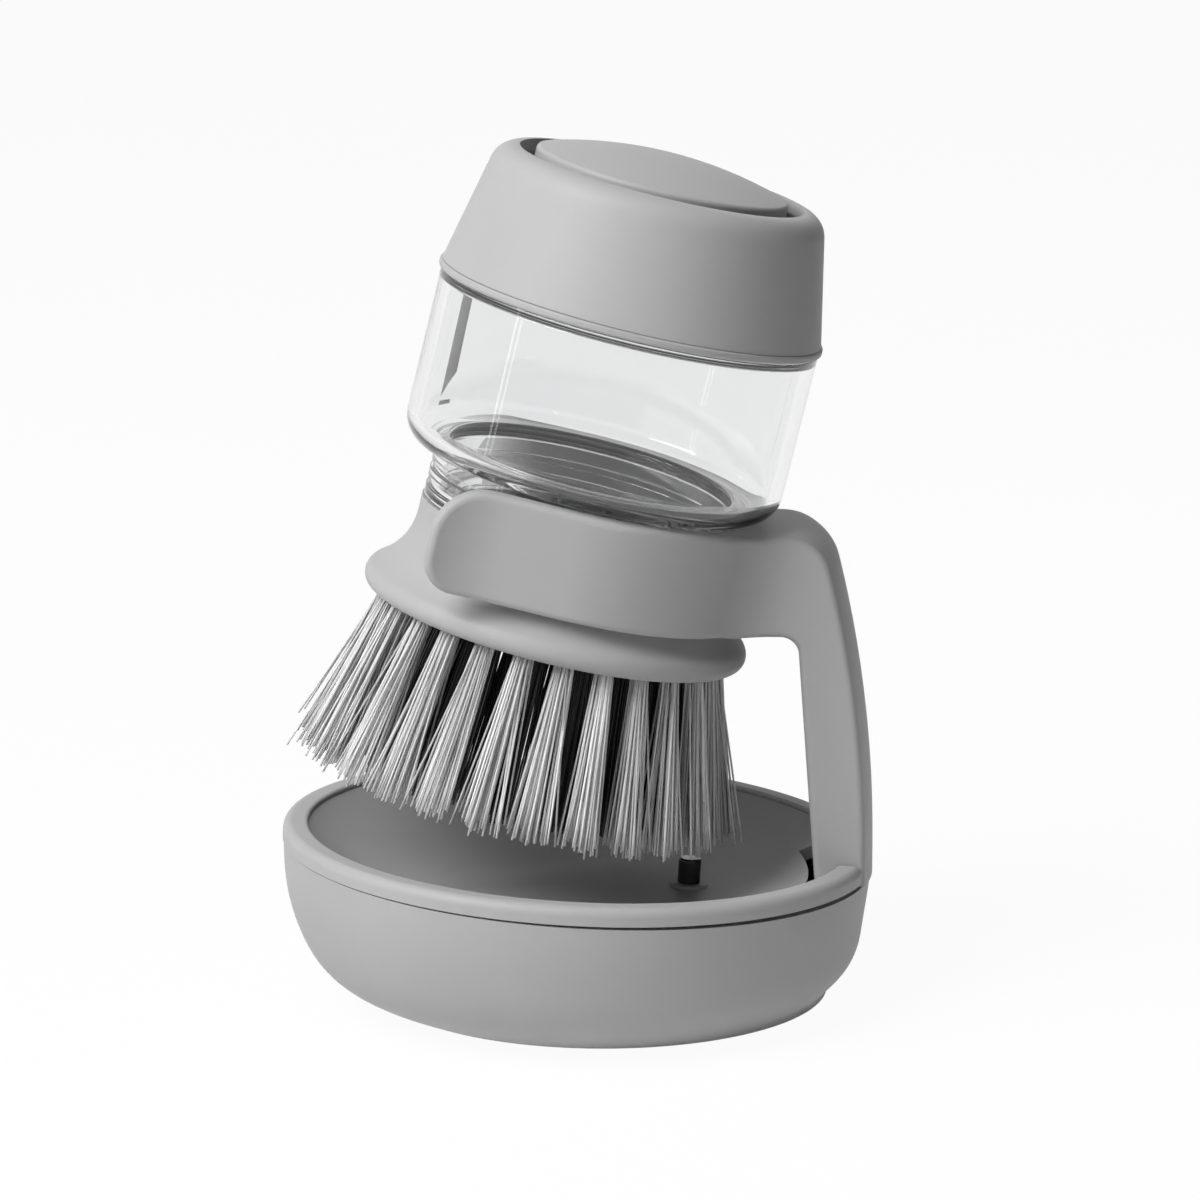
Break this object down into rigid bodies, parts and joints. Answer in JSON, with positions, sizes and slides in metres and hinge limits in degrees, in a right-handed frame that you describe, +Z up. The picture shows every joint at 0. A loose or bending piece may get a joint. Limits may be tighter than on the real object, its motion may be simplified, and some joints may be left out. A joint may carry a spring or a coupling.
{
  "type": "soap dispensing dish brush with stand",
  "caption": "Palm-held dish brush with a clear soap reservoir, press-button pump cap and round bristle head, hung in the fork of a stand over a dished drip tray and bowl.",
  "frame": {"origin": "on the floor under the middle of the bowl rim", "axes": "+Z up, +X from the bowl toward the post, the arm's mid plane is XZ"},
  "size_m": [0.1037, 0.1036, 0.151],
  "materials": {
    "grey_shell": "matte mid-grey moulding",
    "grey_trim": "matte mid-grey moulding",
    "clear_plastic": "clear polished plastic",
    "light_bristle": "pale grey nylon filament",
    "dark_bristle": "black nylon filament",
    "black_plug": "smooth black",
    "clear_silicone": "pale translucent silicone",
    "dark_rubber": "soft matte black",
    "pump_plastic": "off-white moulding",
    "steel": "bright steel"
  },
  "bodies": {
    "stand": {"base_bowl": "grey_shell", "nonslip_foot": "dark_rubber", "stand_arm": "grey_shell", "arm_screws": "steel"},
    "tray": {"drip_tray": "grey_shell"},
    "plug": {"drain_plug": "black_plug"},
    "brush": {"reservoir": "clear_plastic", "cap_trim_ring": "grey_trim", "cap_shell": "grey_shell", "cap_gasket": "clear_silicone", "pump_plate": "pump_plastic", "air_valve": "clear_silicone", "bellows": "clear_silicone", "bellows_clamp": "pump_plastic", "return_spring": "steel"},
    "head": {"brush_head": "grey_shell", "outer_tufts": "light_bristle", "middle_tufts": "dark_bristle", "inner_tufts": "dark_bristle", "neck_seal": "dark_rubber", "slit_valve": "clear_silicone", "valve_ring": "pump_plastic"},
    "button": {"button": "grey_shell"}
  },
  "joints": [
    {"name": "brush_slide", "type": "slide", "parent": "stand", "child": "brush", "axis": [-0.972, 0, 0.2351], "range_m": [0, 0.11]},
    {"name": "button_press", "type": "slide", "parent": "brush", "child": "button", "axis": [-0.2351, 0, -0.972], "range_m": [0, 0.0035], "stiffness_N_per_m": 1200, "springref_m": -0.002, "deforming": ["return_spring", "bellows"]},
    {"name": "head_twist", "type": "hinge", "parent": "brush", "child": "head", "pos_m": [0.0019, 0, 0.0925], "axis": [0.2351, 0, 0.972], "range_deg": [0, 60]},
    {"name": "tray_lift", "type": "slide", "parent": "stand", "child": "tray", "axis": [0, 0, 1], "range_m": [0, 0.0024]},
    {"name": "plug_pull", "type": "slide", "parent": "tray", "child": "plug", "axis": [0.0532, 0, 0.9986], "range_m": [0, 0.002]}
  ]
}
